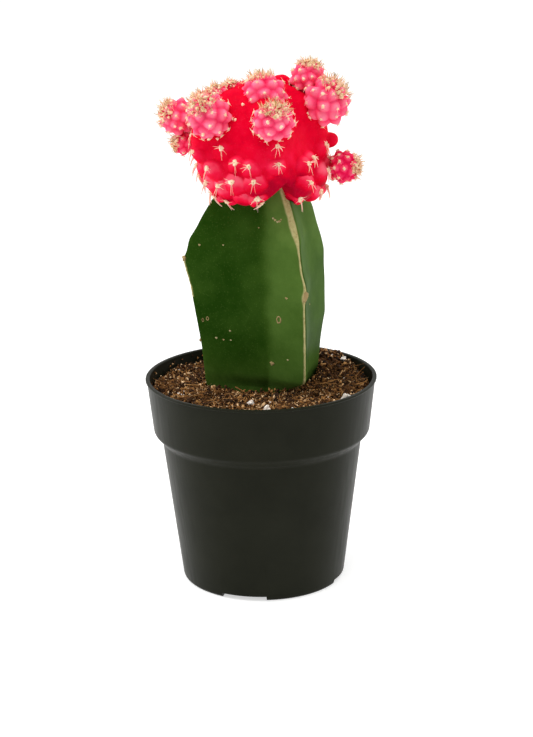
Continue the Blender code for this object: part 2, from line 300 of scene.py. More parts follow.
pot_plastic, tree, shader = new_finish("pot_plastic", {"IOR": 1.15})
place = add_node(tree, "TexCoord").outputs["Object"]
cloud = add_node(tree, "TexNoise", {"Vector": place, "Scale": 70.0, "Detail": 4.0, "Roughness": 0.6})
stretch = add_node(tree, "Mapping", {"Vector": place, "Scale": (1.0, 1.0, 0.06)})
draw_lines = add_node(tree, "TexNoise", {
    "Vector": stretch.outputs["Vector"], "Scale": 900.0, "Detail": 3.0,
})
sheen = add_node(tree, "MapRange", {
    "Value": draw_lines.outputs["Fac"], "From Min": 0.3, "From Max": 0.7, "To Min": 0.34, "To Max": 0.44,
})
grain = add_node(tree, "TexNoise", {"Vector": place, "Scale": 3800.0, "Detail": 2.0})
relief = add_node(tree, "Bump", {
    "Height": grain.outputs["Fac"], "Strength": 0.10, "Distance": 0.05 * MM,
})
set_inputs(tree, shader, {
    "Base Color": make_ramp(tree, cloud.outputs["Fac"], [
        (0.30, (0.0092, 0.0100, 0.0054)),
        (0.70, (0.0132, 0.0140, 0.0082)),
    ]),
    "Roughness": sheen.outputs["Result"],
    "Normal": relief.outputs["Normal"],
})
pot.data.materials.append(pot_plastic)
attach(pot, "root")
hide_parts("pot")


# --- Soil: a plug of peat and coir that fills the pot to just under the rim -------------------
# Its body follows the pot's inside. The top is crumbly and heaped behind the stem, and a litter
# of loose crumbs, fibres and grains lies on it.

SOIL_GAP = 0.3 * MM
SOIL_LEVEL = 54.6 * MM
STEM_CHECK_LEVEL = 55.5 * MM
COLLAR_TAPER = 0.11
SOIL_RINGS = 90
BANKED_CRUMBS = 700
CLINGING_CRUMBS = 26
soil_surface = BVHTree.FromObject(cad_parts["soil"], bpy.context.evaluated_depsgraph_get())
stem_surface = BVHTree.FromObject(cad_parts["rootstock"], bpy.context.evaluated_depsgraph_get())
rng = random.Random(11)


def soil_top(x, y):
    """Height of the soil at a place, as the part's own solid has it."""
    hit = soil_surface.ray_cast(Vector((x, y, POT_HEIGHT + 10.0 * MM)), Vector((0.0, 0.0, -1.0)))[0]
    return hit.z if hit else SOIL_LEVEL


def clear_of_stem(x, y, spare):
    """True where a thing on the soil is at least spare away from the stem."""
    place = Vector((x, y, STEM_CHECK_LEVEL))
    nearest, outward = stem_surface.find_nearest(place)[:2]
    toward = nearest - place
    return toward.length > spare and toward.dot(outward) < 0.0


def clamp(value):
    """The value, kept between 0 and 1."""
    return max(0.0, min(1.0, value))


def paint(piece, name, values):
    """Keeps a value under a name at each point of a piece."""
    layer = piece.data.attributes.new(name, "FLOAT", "POINT")
    layer.data.foreach_set("value", values)


def crumble(x, y):
    """Small relief of the packed soil between the loose crumbs."""
    coarse = noise.noise(Vector((x, y, 0.0)) / (2.6 * MM))
    fine = noise.noise(Vector((x, y, 0.01)) / (0.9 * MM))
    return (0.55 * coarse + 0.35 * fine) * MM


soil_side = COLLAR_TOP[0] - POT_WALL - SOIL_GAP - COLLAR_TAPER * (POT_HEIGHT - SOIL_LEVEL)
soil_outline = [
    (0.4 * MM, FLOOR_TOP_Z + SOIL_GAP),
    (foot_wall - POT_WALL - SOIL_GAP, FLOOR_TOP_Z + SOIL_GAP),
    (STEP[0] - POT_WALL - SOIL_GAP, STEP[1] + 0.2 * MM),
    (COLLAR_FOOT[0] - POT_WALL - SOIL_GAP, COLLAR_FOOT[1] + 0.2 * MM),
    (soil_side, SOIL_LEVEL - 0.4 * MM),
]
for ring in range(1, SOIL_RINGS + 1):
    share = ring / SOIL_RINGS
    soil_outline.append((soil_side * (1.0 - share) + 0.4 * MM * share, SOIL_LEVEL))
soil = turn_rings("soil_body", soil_outline, 180)
select_open_edges()
bpy.ops.mesh.fill()
finish_mesh()
for vert in soil.data.vertices:
    if vert.co.z > SOIL_LEVEL - 0.1 * MM:
        inward = min(1.0, (soil_side - vert.co.xy.length) / (0.8 * MM) + 0.3)
        level = soil_top(vert.co.x * 0.985, vert.co.y * 0.985)
        vert.co.z = level + crumble(vert.co.x, vert.co.y) * inward


def painted(tree, name):
    """The value that is kept under a name at each point of the piece."""
    return add_node(tree, "Attribute", attribute_name=name).outputs["Fac"]


def make_group(name, inputs, outputs):
    """An empty node group: its tree, what it takes in by name, and the node for what it gives."""
    group = bpy.data.node_groups.new(name, "ShaderNodeTree")
    for title, value in inputs.items():
        socket = group.interface.new_socket(title, in_out="INPUT", socket_type="NodeSocketFloat")
        socket.default_value = value
    for title, kind in outputs.items():
        group.interface.new_socket(title, in_out="OUTPUT", socket_type="NodeSocket" + kind)
    taken = group.nodes.new("NodeGroupInput").outputs
    return group, taken, group.nodes.new("NodeGroupOutput")


# Grain: a tone broken up by fine noise, and the same noise as relief. Every surface but the
# pot's has it, each at its own scale.
grain_group, taken, given = make_group("toned_grain", {
    "Tone": 0.0, "Scale": 900.0, "Detail": 5.0, "Roughness": 0.6, "Middle": 0.5, "Spread": 0.5,
    "Relief Strength": 0.3, "Relief Depth": 0.1 * MM,
}, {"Value": "Float", "Normal": "Vector"})
speckle = add_node(grain_group, "TexNoise", {
    "Vector": add_node(grain_group, "TexCoord").outputs["Object"],
    "Scale": taken["Scale"], "Detail": taken["Detail"], "Roughness": taken["Roughness"],
}).outputs["Fac"]
centred = add_node(grain_group, "Math", {0: speckle, 1: taken["Middle"]}, operation="SUBTRACT")
spread = add_node(grain_group, "Math", {0: centred.outputs["Value"], 1: taken["Spread"]},
                  operation="MULTIPLY")
total = add_node(grain_group, "Math", {0: spread.outputs["Value"], 1: taken["Tone"]},
                 operation="ADD")
relief = add_node(grain_group, "Bump", {
    "Height": speckle, "Strength": taken["Relief Strength"], "Distance": taken["Relief Depth"],
})
set_inputs(grain_group, given, {
    "Value": total.outputs["Value"], "Normal": relief.outputs["Normal"],
})


def add_soil_material(name, stops, rough, relief_depth):
    """Earthy finish: a colour from each crumb's own tone, broken by noise, over a coarse relief."""
    material, tree, shader = new_finish(name, {"Roughness": rough, "IOR": 1.25})
    grain = add_node(tree, "Group", {
        "Tone": painted(tree, "tone"), "Scale": 900.0, "Detail": 6.0, "Roughness": 0.7,
        "Middle": 0.0, "Spread": 0.55, "Relief Strength": 0.8, "Relief Depth": relief_depth,
    }, node_tree=grain_group)
    set_inputs(tree, shader, {
        "Base Color": make_ramp(tree, grain.outputs["Value"], stops),
        "Normal": grain.outputs["Normal"],
    })
    return material


soil_crumb = add_soil_material("soil_crumb", [
    (0.18, (0.008, 0.0035, 0.0012)),
    (0.39, (0.056, 0.0215, 0.0050)),
    (0.59, (0.190, 0.0800, 0.0200)),
    (0.82, (0.430, 0.2150, 0.0680)),
    (1.00, (0.860, 0.6000, 0.3400)),
], 0.82, 0.3 * MM)
paint(soil, "tone", [0.06 + 0.10 * noise.noise(vert.co / (3.0 * MM)) for vert in soil.data.vertices])
soil.data.materials.append(soil_crumb)
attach(soil, "root")
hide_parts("soil")


def shape_lump(name, subdivisions, roughness, seed):
    """A small irregular lump about one unit across, the model for crumbs and grains."""
    lump = start_piece(name, bpy.ops.mesh.primitive_ico_sphere_add, subdivisions=subdivisions,
                       radius=0.5)
    for vert in lump.data.vertices:
        vert.co *= 1.0 + roughness * noise.noise(vert.co * 2.6 + Vector((seed, 0.0, 0.0)))
    return lump


def copy_out(name, models, places, tones, material):
    """One piece that holds a copy of a model at each place, each copy with a tone of its own.

    A place is a model's number and a matrix. Each corner keeps its model's "along" value.
    """
    shapes = []
    for model in models:
        data = model.data
        data.calc_loop_triangles()
        points = np.array([vert.co for vert in data.vertices])
        faces = np.array([face.vertices for face in data.loop_triangles])
        along = data.attributes.get("along")
        values = [item.value for item in along.data] if along else [0.0] * len(points)
        shapes.append((points, faces, np.array(values)))
    all_points, all_faces, all_tones, all_along = [], [], [], []
    total = 0
    for (number, matrix), tone in zip(places, tones):
        points, faces, along = shapes[number]
        turn = np.array(matrix.to_3x3())
        all_points.append(points @ turn.T + np.array(matrix.translation))
        all_faces.append(faces + total)
        all_tones.append(np.full(len(points), tone))
        all_along.append(along)
        total += len(points)
    mesh = bpy.data.meshes.new(name)
    mesh.from_pydata(np.concatenate(all_points).tolist(), [], np.concatenate(all_faces).tolist())
    mesh.materials.append(material)
    mesh.shade_smooth()
    piece = bpy.data.objects.new(name, mesh)
    bpy.context.scene.collection.objects.link(piece)
    paint(piece, "tone", np.concatenate(all_tones).astype(np.float32))
    paint(piece, "along", np.concatenate(all_along).astype(np.float32))
    for model in models:
        bpy.data.objects.remove(model, do_unlink=True)
    return piece


def random_turn():
    """A turn at random about all three axes."""
    turn = Matrix.Rotation(rng.uniform(0.0, math.tau), 4, "X")
    turn = turn @ Matrix.Rotation(rng.uniform(0.0, math.tau), 4, "Y")
    return turn @ Matrix.Rotation(rng.uniform(0.0, math.tau), 4, "Z")


def soil_places(count, smallest, largest, sink, kinds, power=2.0):
    """Places for loose bits on the soil: small ones are many and large ones few."""
    places = []
    while len(places) < count:
        distance = soil_side * math.sqrt(rng.random())
        angle = rng.uniform(0.0, math.tau)
        size = smallest + (largest - smallest) * rng.random() ** power
        x = distance * math.cos(angle)
        y = distance * math.sin(angle)
        if distance > soil_side - 0.35 * size or not clear_of_stem(x, y, 0.1 * size):
            continue
        z = soil_top(x * 0.98, y * 0.98) + crumble(x, y) + size * (0.5 - sink)
        squash = (rng.uniform(0.8, 1.5), rng.uniform(0.6, 1.1), rng.uniform(0.4, 0.9))
        scale = Matrix.Diagonal((squash[0] * size, squash[1] * size, squash[2] * size, 1.0))
        places.append((rng.randrange(kinds), Matrix.Translation((x, y, z)) @ random_turn() @ scale))
    return places


def mixed_tones(count, kinds):
    """Tones of loose bits: each kind is a share of the whole with its darkest and palest tone."""
    shares = [kind[0] for kind in kinds]
    return [rng.choices([rng.uniform(*kind[1:]) for kind in kinds], shares)[0] for _ in range(count)]


crumb_models = [shape_lump(f"crumb_model_{seed}", 1, 0.9, seed) for seed in range(4)]
crumb_places = soil_places(9000, 0.35 * MM, 1.4 * MM, 0.25, 4)
banked = 0
while banked < BANKED_CRUMBS:
    x = rng.uniform(-20.0, 22.0) * MM
    y = rng.uniform(-17.0, 20.0) * MM
    size = rng.uniform(0.4, 1.2) * MM
    if clear_of_stem(x, y, 1.5 * MM) or not clear_of_stem(x, y, 0.25 * size):
        continue
    heap = 1.9 if y < 0.0 and x > 0.0 else 1.1
    slope = 0.3 if clear_of_stem(x, y, 0.9 * MM) else 1.0
    z = soil_top(x, y) + rng.uniform(-0.2, heap) * MM * slope
    scale = Matrix.Diagonal((size, 0.8 * size, 0.7 * size, 1.0))
    crumb_places.append((rng.randrange(4), Matrix.Translation((x, y, z)) @ random_turn() @ scale))
    banked += 1
for number in range(CLINGING_CRUMBS):
    around = math.radians(rng.uniform(118.0, 205.0))
    z = rng.uniform(55.2, 56.9) * MM
    reach = COLLAR_TOP[0] - POT_WALL - COLLAR_TAPER * (POT_HEIGHT - z) - 0.15 * MM
    scale = Matrix.Diagonal((0.5 * MM, 0.7 * MM, 0.4 * MM, 1.0))
    spot = Matrix.Translation((reach * math.cos(around), reach * math.sin(around), z))
    crumb_places.append((rng.randrange(4), spot @ random_turn() @ scale))
crumb_tones = mixed_tones(len(crumb_places), [
    (0.42, -0.08, 0.12), (0.40, 0.12, 0.34), (0.18, 0.38, 0.72),
])
# Painted shade: crumbs to the right of the stem and behind it are darkened as if in its shadow.
for index, (number, matrix) in enumerate(crumb_places):
    shaded = (matrix.translation.x + 0.6 * matrix.translation.y - 10.0 * MM) / (22.0 * MM)
    crumb_tones[index] -= 0.13 * clamp(shaded)
crumbs = copy_out("soil_crumbs", crumb_models, crumb_places, crumb_tones, soil_crumb)
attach(crumbs, "root")
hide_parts("soil")

dust_models = [shape_lump(f"dust_model_{seed}", 1, 0.9, 30 + seed) for seed in range(3)]
dust_places = soil_places(5000, 0.20 * MM, 0.65 * MM, -0.75, 3, power=1.4)
dust_tones = mixed_tones(len(dust_places), [
    (0.46, -0.05, 0.20), (0.36, 0.25, 0.45), (0.18, 0.50, 0.85),
])
dust = copy_out("soil_dust", dust_models, dust_places, dust_tones, soil_crumb)
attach(dust, "root")
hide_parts("soil")

clod_models = [shape_lump(f"clod_model_{seed}", 3, 1.0, 20 + seed) for seed in range(3)]
clod_places = soil_places(80, 1.4 * MM, 2.6 * MM, 0.35, 3)
clod_tones = [rng.uniform(-0.05, 0.16) for _ in clod_places]
clods = copy_out("soil_clods", clod_models, clod_places, clod_tones, soil_crumb)
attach(clods, "root")
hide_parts("soil")


# --- Fibres: coir threads and slivers of bark that lie across the crumbs ----------------------
# Each is a thin strand, bent a little as it dried, and half sunk in the soil.

def shape_strand(name, steps, bend, taper, sides=4):
    """A strand one unit long and one unit wide at its root, bent sideways along its length."""
    strand = start_piece(name, bpy.ops.mesh.primitive_circle_add, vertices=sides, radius=0.5,
                         fill_type="NGON")
    bpy.ops.object.mode_set(mode="EDIT")
    bpy.ops.mesh.select_all(action="SELECT")
    for step in range(steps):
        share = (step + 1) / steps
        sideways = bend * (share ** 2 - (share - 1.0 / steps) ** 2)
        narrowing = (1.0 - taper * share) / (1.0 - taper * (share - 1.0 / steps))
        bpy.ops.mesh.extrude_region_move(TRANSFORM_OT_translate={"value": (0.0, 0.0, 1.0 / steps)})
        bpy.ops.transform.resize(value=(narrowing, narrowing, 1.0))
        for vert in bmesh.from_edit_mesh(strand.data).verts:
            if vert.select:
                vert.co.x += sideways
    bpy.ops.mesh.select_all(action="SELECT")
    bpy.ops.mesh.normals_make_consistent(inside=False)
    bpy.ops.object.mode_set(mode="OBJECT")
    paint(strand, "along", [vert.co.z for vert in strand.data.vertices])
    return strand


def strand_matrix(base, toward, bend_toward, length, width, bend_scale=None):
    """Places a strand with its root at base: its length lies along toward, its bend to one side."""
    axis = toward.normalized()
    side = (bend_toward - axis * bend_toward.dot(axis)).normalized()
    third = axis.cross(side)
    turn = Matrix((side, third, axis)).transposed().to_4x4()
    return Matrix.Translation(base) @ turn @ Matrix.Diagonal((bend_scale or width, width, length, 1.0))


def level_ray(angle, rise):
    """A direction at an angle round +Z, with a rise added to it."""
    return Vector((math.cos(angle), math.sin(angle), rise))


THREAD_BEND = 14.0
strand_models = [shape_strand("thread_model", 6, THREAD_BEND, 0.6),
                 shape_strand("sliver_model", 3, 1.0, 0.3)]
strand_places = []
while len(strand_places) < 480:
    angle = rng.uniform(0.0, math.tau)
    distance = soil_side * math.sqrt(rng.random()) * 0.96
    x = distance * math.cos(angle)
    y = distance * math.sin(angle)
    heading = rng.uniform(0.0, math.tau)
    length = rng.uniform(1.5, 5.5) * MM
    toward = level_ray(heading, rng.uniform(-0.12, 0.22))
    tip = Vector((x, y, 0.0)) + toward * length
    if tip.xy.length > soil_side or not clear_of_stem(x, y, 1.0 * MM):
        continue
    if not clear_of_stem(tip.x, tip.y, 1.0 * MM):
        continue
    base = Vector((x, y, soil_top(x, y) + rng.uniform(0.2, 0.9) * MM))
    bend = Vector((-toward.y, toward.x, rng.uniform(0.0, 0.5)))
    kind = 0 if rng.random() < 0.75 else 1
    width = (rng.uniform(0.09, 0.2) if kind == 0 else rng.uniform(0.3, 0.6)) * MM
    strand_places.append((kind, strand_matrix(base, toward, bend, length, width)))
strand_tones = [rng.uniform(0.15, 0.62) for _ in strand_places]
LONG_FIBRES = [
    # x, y and height over the soil in millimetres, heading and rise in degrees, length and bend
    (26.3, -1.5, 0.4, 78.0, 24.0, 6.8, 2.6), (28.0, 1.0, 0.5, 98.0, 20.0, 5.6, 2.0),
    (25.8, 3.0, 0.6, 60.0, 30.0, 4.6, -1.8), (8.6, -13.5, 0.5, 35.0, 12.0, 5.4, 0.8),
    (-24.0, -6.0, 0.4, 120.0, 10.0, 5.0, 1.4),
]
for x, y, lift, heading, rise, length, bow in LONG_FIBRES:
    base = Vector((x * MM, y * MM, soil_top(x * MM, y * MM) + lift * MM))
    toward = level_ray(math.radians(heading), math.tan(math.radians(rise))).normalized()
    bend = Vector((-toward.y, toward.x, -0.5))
    matrix = strand_matrix(base, toward, bend, length * MM, 0.42 * MM, bow * MM / THREAD_BEND)
    strand_places.append((0, matrix))
    strand_tones.append(rng.uniform(0.28, 0.46))
fibres = copy_out("soil_fibres", strand_models, strand_places, strand_tones, soil_crumb)
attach(fibres, "root")
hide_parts("soil")


# --- Perlite: white expanded grains, popped from volcanic glass and mixed into the soil -------
# The eight larger ones stand for the part's own grains, and small ones lie between the crumbs.

perlite_white = add_soil_material("perlite_white", [
    (0.10, (0.46, 0.36, 0.26)),
    (0.32, (0.80, 0.74, 0.66)),
    (0.60, (0.93, 0.91, 0.87)),
], 0.88, 0.12 * MM)
for name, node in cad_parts.items():
    if not name.startswith("perlite"):
        continue
    low, high = (Vector(corner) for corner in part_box(name))
    grain_seed = sum(ord(letter) for letter in name)
    grain = shape_lump(name + "_grain", 4, 0.55, grain_seed)
    for vert in grain.data.vertices:
        vert.co *= 1.0 + 0.10 * noise.noise(vert.co * 7.0 + Vector((grain_seed, 1.0, 0.0)))
    grain.scale = (high - low) * 0.92
    grain.location = (low + high) / 2.0
    bpy.ops.object.transform_apply(location=True, rotation=True, scale=True)
    bpy.ops.object.shade_smooth()
    paint(grain, "tone", [rng.uniform(0.0, 0.25)] * len(grain.data.vertices))
    grain.data.materials.append(perlite_white)
    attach(grain, "root")
    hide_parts(name)

speck_models = [shape_lump(f"speck_model_{seed}", 1, 0.8, 40 + seed) for seed in range(2)]
speck_places = soil_places(95, 0.30 * MM, 1.1 * MM, 0.25, 2, power=1.6)
speck_tones = [rng.uniform(-0.15, 0.2) for _ in speck_places]
specks = copy_out("perlite_specks", speck_models, speck_places, speck_tones, perlite_white)
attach(specks, "root")
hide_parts("soil")


# --- Rootstock: the green three-ribbed stem, cut flat on top and shaved along its ribs --------
# Its flanks are a little hollow. The rib margins are corky where the knife ran down them, each
# has a woody areole, and the front rib stands up in front of the graft as a short horn.

STEM_X = 1.0 * MM
STEM_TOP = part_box("rootstock")[1][2]
STEM_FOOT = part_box("rootstock")[0][2]
# Ribs and flanks go round from the right rib, and the first flank is the hidden one at the back
LEFT_RIB, FRONT_RIB = 1, 2
LEFT_FLANK, RIGHT_FLANK = 1, 2
RIB_ANGLES = [math.radians(degrees) for degrees in (35.0, 176.0, 308.0)]
RIB_REACHES = [
    # right, left and front rib: heights and reaches from the stem's axis, in millimetres
    ((40, 11), (48, 15), (55, 18.1), (66, 19.3), (70, 20.1), (73, 20.9), (82, 20.9), (87, 20.6),
     (91, 20.6), (95, 19.4), (99, 18.0), (104, 16.6), (107, 14.8), (112.3, 11)),
    ((40, 10.5), (48, 14.5), (56, 16.4), (66, 17.4), (76, 18.9), (84, 20.1), (88, 21.2),
     (91, 21.9), (93, 20.9), (96.6, 20.1), (100, 17.9), (103, 16.4), (107, 14), (112.3, 10.4)),
    ((40, 9), (48, 9.5), (54.5, 9.2), (57, 12), (58.8, 16.8), (60, 17.6), (75, 17.8), (82, 17.6),
     (84, 18.3), (86.5, 18), (90, 16.5), (95, 15.7), (98, 15), (104.5, 12.3), (112.3, 8.9)),
]
CREASE = 0.78
STEM_COLUMNS = 300
STEM_ROWS = 230


def rib_reach(rib, height):
    """Reach of a rib at a height, read smoothly from its points."""
    heights, reaches = zip(*RIB_REACHES[rib])
    window = [height + step for step in (-0.8, -0.4, 0.0, 0.4, 0.8)]
    return float(np.mean(np.interp(window, heights, reaches)))


def smooth_step(value):
    """Eases from 0 to 1."""
    value = clamp(value)
    return value * value * (3.0 - 2.0 * value)


def flank_hollow(flank, share, height):
    """How much a flank sinks between its ribs; the left front one has a crease near the horn."""
    if flank == LEFT_FLANK:
        crease = share / CREASE if share < CREASE else (1.0 - share) / (1.0 - CREASE)
        soft = math.sin(0.5 * math.pi * min(1.0, crease)) ** 1.5
        sharp = max(0.05, min(1.0, (88.0 - height) / 36.0))
        depth = 0.13 + 0.05 * sharp
        return depth * (soft + (crease ** 1.15 - soft) * sharp)
    return (0.12, 0.0, 0.09)[flank] * math.sin(math.pi * share)


def rib_bluntness(rib, height):
    """Width of the flat that the knife left on a rib's crest."""
    if rib == FRONT_RIB:
        return 0.55 + 0.75 * clamp((height - 95.5) / 3.0)
    return 0.60 + 0.25 * clamp((height - 91.0) / 3.0)


def stem_point(column, height):
    """A point of the stem's skin by its angle and reach, how far it lies from the nearest rib's
    crest line, that rib, the flank, and the share of the way across the flank.
    """
    per_flank = STEM_COLUMNS // 3
    flank, place = divmod(column % STEM_COLUMNS, per_flank)
    follower = (flank + 1) % 3
    span = (RIB_ANGLES[follower] - RIB_ANGLES[flank]) % math.tau
    share = place / per_flank
    share -= 0.90 * math.sin(math.tau * share) / math.tau
    angle = RIB_ANGLES[flank] + span * share
    first = rib_reach(flank, height)
    second = rib_reach(follower, height)
    first_full = first + rib_bluntness(flank, height)
    second_full = second + rib_bluntness(follower, height)
    chord = first_full * second_full * math.sin(span)
    chord /= first_full * math.sin(span * share) + second_full * math.sin(span * (1.0 - share))
    bulge = max(0.0, 1.0 - (height - 40.0) / 16.0)
    chord *= 1.0 - flank_hollow(flank, share, height) * (1.0 - bulge)
    limit = first + (second - first) * share
    chord += (limit - chord) * 0.75 * bulge
    reach = min(chord, limit) - 0.22 * math.exp(-abs(chord - limit) / 0.30)
    crest = min(share, 1.0 - share) * span * reach
    return angle, reach, crest, flank if share < 0.5 else follower, flank, share


def cork_width(rib, height, wander):
    """Half the width of the cork along a rib: broad where it was shaved, else a hair line."""
    if rib == FRONT_RIB:
        shaved = clamp((height - 96.0) / 4.0)
        areole = math.exp(-((height - 84.0) / 1.6) ** 2)
        return 0.24 + 0.58 * shaved + 0.10 * wander + 0.35 * areole
    if rib == LEFT_RIB:
        return (0.34 + 0.15 * wander) if 80.5 < height < 91.5 else -0.3
    return (0.10 + 0.12 * wander) if height > 71.0 else -0.3


stem = start_piece("rootstock_stem", bpy.ops.mesh.primitive_grid_add, size=1.0,
                   x_subdivisions=STEM_COLUMNS, y_subdivisions=STEM_ROWS)
cork_values = []
tone_and_painted_light_values = []
for vert in stem.data.vertices:
    column = round((vert.co.x + 0.5) * STEM_COLUMNS)
    height = STEM_FOOT / MM + (vert.co.y + 0.5) * (STEM_TOP - STEM_FOOT) / MM
    angle, reach, crest, rib, flank, share = stem_point(column, height)
    wander = noise.noise(Vector((rib * 9.0, 0.0, height / 2.2)))
    band = cork_width(rib, height, wander)
    cork = clamp((band - crest) / 0.20 + 0.5)
    swell = noise.noise(Vector((math.cos(angle) * 1.6, math.sin(angle) * 1.6, height / 14.0)))
    reach += 0.20 * swell + 0.08 * cork * noise.noise(Vector((rib, crest, height / 0.7)))
    vert.co = Vector((reach * math.cos(angle), reach * math.sin(angle), height)) * MM
    vert.co.x += STEM_X
    cork_values.append(cork)
    # Painted light: the strip of the left flank beside the horn and the front-right flank are painted
    # lighter because they face the side lights, less so low down. The stem's foot is painted lighter
    # against the shade near the soil. The swell and blotch noise is the skin's own uneven tone.
    edge = 0.12 + 0.26 * smooth_step((height - 62.0) / 32.0)
    horn_flank_light = smooth_step((share - 0.77) / edge + 0.5) if flank == LEFT_FLANK else 0.0
    right_flank_light = 0.72 * smooth_step(share / 0.06) if flank == RIGHT_FLANK else 0.0
    flank_light_fade = max(0.30, min(1.0, (height - 54.0) / 22.0)) + 0.30 * smooth_step((height - 86.0) / 16.0)
    foot = 0.34 * smooth_step((72.0 - height) / 16.0)
    blotch = noise.noise(Vector((crest / 6.0, flank * 5.0, height / 9.0)))
    tone = 0.13 + 0.61 * max(horn_flank_light, right_flank_light) * flank_light_fade + foot + 0.16 * swell + 0.12 * blotch
    tone_and_painted_light_values.append(tone if flank else 0.35 + 0.12 * blotch)
paint(stem, "cork", cork_values)
paint(stem, "tone_and_painted_light", tone_and_painted_light_values)
bpy.ops.object.mode_set(mode="EDIT")
bpy.ops.mesh.select_all(action="SELECT")
bpy.ops.mesh.remove_doubles(threshold=0.001 * MM)
select_open_edges()
bpy.ops.mesh.edge_face_add()
finish_mesh()
bpy.ops.object.shade_smooth_by_angle(angle=math.radians(50.0))

# Flecks: a mask of small round points, for pores and for the dust on the flesh.
fleck_group, taken, given = make_group("fine_flecks", {
    "Scale": 1500.0, "Inner": 0.08, "Outer": 0.28, "Strength": 0.2,
}, {"Mask": "Float"})
points = add_node(fleck_group, "TexVoronoi", {
    "Vector": add_node(fleck_group, "TexCoord").outputs["Object"], "Scale": taken["Scale"],
})
fading = add_node(fleck_group, "MapRange", {
    "Value": points.outputs["Distance"], "From Min": taken["Inner"], "From Max": taken["Outer"],
    "To Min": taken["Strength"], "To Max": 0.0,
})
set_inputs(fleck_group, given, {"Mask": fading.outputs["Result"]})

skin, tree, shader = new_finish("rootstock_skin", {"IOR": 1.05})
mottle = add_node(tree, "Group", {
    "Tone": painted(tree, "tone_and_painted_light"), "Scale": 160.0, "Detail": 6.0, "Roughness": 0.68, "Spread": 0.62,
}, node_tree=grain_group)
green = make_ramp(tree, mottle.outputs["Value"], [
    (0.00, (0.0110, 0.0390, 0.0020)),
    (0.13, (0.0180, 0.0510, 0.0040)),
    (0.34, (0.0290, 0.0690, 0.0072)),
    (0.76, (0.0660, 0.1270, 0.0220)),
    (1.00, (0.1000, 0.1720, 0.0340)),
])
pores = add_node(tree, "Group", {
    "Scale": 1500.0, "Inner": 0.10, "Outer": 0.30, "Strength": 0.20,
}, node_tree=fleck_group)
speckled = add_node(tree, "Mix", {
    "Factor": pores.outputs["Mask"], "A": green, "B": (0.10, 0.16, 0.035, 1.0),
}, data_type="RGBA")
cork_grain = add_node(tree, "Group", {
    "Scale": 1400.0, "Detail": 5.0, "Roughness": 0.7, "Middle": 0.0, "Spread": 1.0,
    "Relief Strength": 0.25, "Relief Depth": 0.10 * MM,
}, node_tree=grain_group)
cork_color = make_ramp(tree, cork_grain.outputs["Value"], [
    (0.25, (0.19, 0.130, 0.045)),
    (0.45, (0.40, 0.350, 0.150)),
    (0.75, (0.50, 0.460, 0.230)),
])
cork_mask = painted(tree, "cork")
covered = add_node(tree, "Mix", {
    "Factor": cork_mask, "A": speckled.outputs["Result"], "B": cork_color,
}, data_type="RGBA")
wax = add_node(tree, "MapRange", {"Value": cork_mask, "To Min": 0.46, "To Max": 0.80})
set_inputs(tree, shader, {
    "Base Color": covered.outputs["Result"],
    "Roughness": wax.outputs["Result"],
    "Normal": cork_grain.outputs["Normal"],
})
stem.data.materials.append(skin)
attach(stem, "root")
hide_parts("rootstock")


# --- Scars: woody areoles on the ribs, and the specks and rings left by old pricks and bites ---
# Each is a thin crust of tan cork on the skin, less than half a millimetre proud.

WOODY_AREOLES = [
    # angle round the stem's axis in degrees, height, width and length in millimetres
    (308.0, 84.0, 1.2, 3.2), (176.3, 91.2, 1.2, 1.6), (38.0, 84.7, 0.9, 1.2), (38.0, 73.0, 0.9, 1.2),
    (176.0, 68.0, 0.8, 1.0),
]
SCAR_DOTS = [
    # angle, height and size
    (181.0, 95.3, 0.6), (196.0, 95.8, 0.4), (260.0, 101.1, 0.35), (298.0, 82.9, 0.7), (284.0, 63.8, 1.2),
    (299.0, 65.6, 0.5), (186.0, 69.3, 0.6), (192.0, 69.0, 0.5), (200.0, 69.1, 0.4), (200.0, 71.8, 0.5),
    (290.6, 104.0, 0.55), (292.8, 103.6, 0.65), (295.2, 103.2, 0.60), (297.4, 103.4, 0.65),
    (299.0, 103.9, 0.45), (60.0, 88.0, 0.6), (85.0, 72.0, 0.8), (110.0, 96.0, 0.5),
    (135.0, 64.0, 0.7), (345.0, 79.0, 0.5),
]
SCAR_RINGS = [
    # angle, height and size
    (292.0, 76.5, 0.75), (182.0, 74.6, 0.42), (179.5, 74.0, 0.36), (100.0, 83.0, 0.7),
]
skin_surface = BVHTree.FromObject(stem, bpy.context.evaluated_depsgraph_get())


def skin_frame(surface, degrees, height):
    """A matrix on a skin: Z out of it, Y up along it, at an angle round the axis and a height."""
    ray = level_ray(math.radians(degrees), 0.0)
    origin = Vector((STEM_X, 0.0, height * MM)) + ray * 40.0 * MM
    hit, normal = surface.ray_cast(origin, -ray)[:2]
    up = (Vector((0.0, 0.0, 1.0)) - normal * normal.z).normalized()
    turn = Matrix((up.cross(normal), up, normal)).transposed().to_4x4()
    return Matrix.Translation(hit) @ turn


scar_models = [shape_lump("scar_model_1", 3, 0.8, 71), shape_lump("scar_model_2", 3, 0.8, 83)]
ring_model = start_piece("ring_model", bpy.ops.mesh.primitive_torus_add, major_radius=1.0,
                         minor_radius=0.24, major_segments=22, minor_segments=8)
for vert in ring_model.data.vertices:
    vert.co *= 1.0 + 0.16 * noise.noise(vert.co * 1.7)
scar_models.append(ring_model)
scar_places = []
scar_tones = []
for degrees, height, width, length in WOODY_AREOLES:
    scale = Matrix.Diagonal((width * MM, length * MM, 0.9 * MM, 1.0))
    scar_places.append((0, skin_frame(skin_surface, degrees, height) @ scale))
    scar_tones.append(0.42)
for degrees, height, width in SCAR_DOTS:
    scale = Matrix.Diagonal((width * MM, width * 0.9 * MM, 0.35 * width * MM, 1.0))
    scar_places.append((1, skin_frame(skin_surface, degrees, height) @ scale))
    scar_tones.append(rng.uniform(0.1, 0.5))
